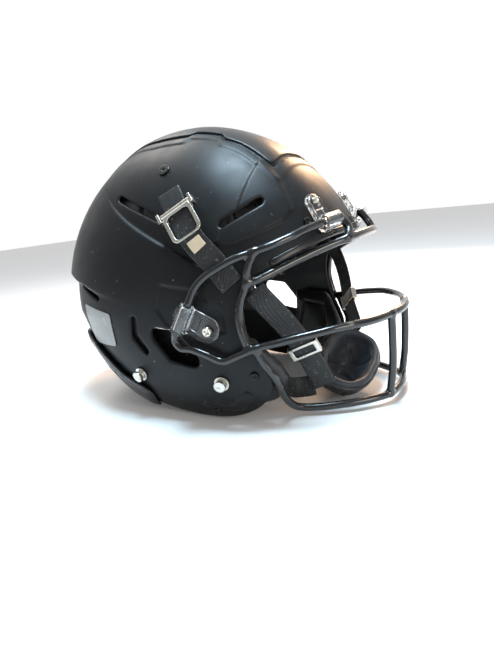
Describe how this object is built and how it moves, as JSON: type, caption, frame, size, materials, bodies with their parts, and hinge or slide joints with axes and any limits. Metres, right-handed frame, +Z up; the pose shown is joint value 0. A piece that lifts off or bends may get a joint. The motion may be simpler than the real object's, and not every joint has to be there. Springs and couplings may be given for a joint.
{
  "type": "american football helmet",
  "caption": "Hard-shelled American football helmet with a wire face guard, clear guard clips, inner pads, snap studs and a chin cup on buckled straps.",
  "frame": {"origin": "on the surface it stands on, under the middle of the helmet's overall length and width", "axes": "+X towards the face, +Y towards the wearer's left, +Z up"},
  "size_m": [0.3403, 0.2556, 0.2535],
  "materials": {
    "shell_plastic": "satin black moulded polycarbonate with fine scuffs",
    "bumper_rubber": "glossy black rubber",
    "patch_film": "blank grey film",
    "pad_vinyl": "black vinyl over foam",
    "guard_wire": "black vinyl-dipped steel wire",
    "clip_clear": "clear polycarbonate",
    "screw_black": "black oxide",
    "buckle_metal": "nickel plated",
    "strap_web": "black coated webbing",
    "tab_leather": "cream leather-look tab",
    "cup_plastic": "black moulded plastic",
    "cup_foam": "dark soft foam lining"
  },
  "bodies": {
    "helmet": {"shell": "shell_plastic", "crown_panel": "shell_plastic", "nape_bumper": "bumper_rubber", "brow_bumper": "bumper_rubber", "rating_patch": "patch_film", "crown_pad": "pad_vinyl", "brow_pad": "pad_vinyl", "back_pad": "pad_vinyl", "nape_pad": "pad_vinyl", "side_pad_right": "pad_vinyl", "side_pad_left": "pad_vinyl", "jaw_pad_right": "pad_vinyl", "jaw_pad_left": "pad_vinyl", "ear_pad_right": "pad_vinyl", "ear_pad_left": "pad_vinyl", "top_bar_right": "guard_wire", "top_bar_left": "guard_wire", "brow_bar": "guard_wire", "mouth_bar": "guard_wire", "chin_bar": "guard_wire", "side_post_right": "guard_wire", "side_post_left": "guard_wire", "front_post_right": "guard_wire", "front_post_left": "guard_wire", "side_clip_right": "clip_clear", "side_clip_left": "clip_clear", "front_clip_right": "clip_clear", "front_clip_left": "clip_clear", "side_clip_screws": "buckle_metal", "front_clip_screws": "buckle_metal", "brow_screws": "screw_black", "jaw_screws": "screw_black", "front_snap_studs": "buckle_metal", "rear_snap_studs": "buckle_metal", "upper_snap_studs": "screw_black", "air_valves": "bumper_rubber", "strap_tab_right": "tab_leather", "strap_tab_left": "tab_leather", "shell_strap_right": "strap_web", "shell_strap_left": "strap_web"},
    "chin_cup_set": {"chin_cup": "cup_plastic", "cup_liner": "cup_foam", "slide_buckle_right": "buckle_metal", "slide_buckle_left": "buckle_metal", "cup_strap_right": "strap_web", "cup_strap_left": "strap_web", "lower_strap_right": "strap_web", "lower_strap_left": "strap_web"},
    "buckle_right": {"buckle_socket_right": "buckle_metal", "buckle_frame_right": "buckle_metal"},
    "buckle_left": {"buckle_socket_left": "buckle_metal", "buckle_frame_left": "buckle_metal"},
    "lever_right": {"buckle_lever_right": "buckle_metal"},
    "lever_left": {"buckle_lever_left": "buckle_metal"}
  },
  "joints": [
    {"name": "chin_cup_swing", "type": "hinge", "parent": "helmet", "child": "chin_cup_set", "pos_m": [0.07, 0, 0.12], "axis": [0, 1, 0], "range_deg": [-4, 24], "deforming": ["cup_strap_right", "cup_strap_left", "lower_strap_right"]},
    {"name": "right_buckle_snap", "type": "slide", "parent": "helmet", "child": "buckle_right", "axis": [0.1347, -0.9087, 0.3952], "range_m": [0, 0.012], "deforming": ["shell_strap_right"]},
    {"name": "left_buckle_snap", "type": "slide", "parent": "helmet", "child": "buckle_left", "axis": [0.1347, 0.9087, 0.3952], "range_m": [0, 0.012], "deforming": ["shell_strap_left"]},
    {"name": "right_buckle_lever", "type": "hinge", "parent": "buckle_right", "child": "lever_right", "pos_m": [0.01642, -0.1043, 0.18032], "axis": [-0.8186, -0.3268, -0.4723], "range_deg": [0, 95]},
    {"name": "left_buckle_lever", "type": "hinge", "parent": "buckle_left", "child": "lever_left", "pos_m": [0.01642, 0.1043, 0.18032], "axis": [0.8186, -0.3268, 0.4723], "range_deg": [0, 95]}
  ]
}
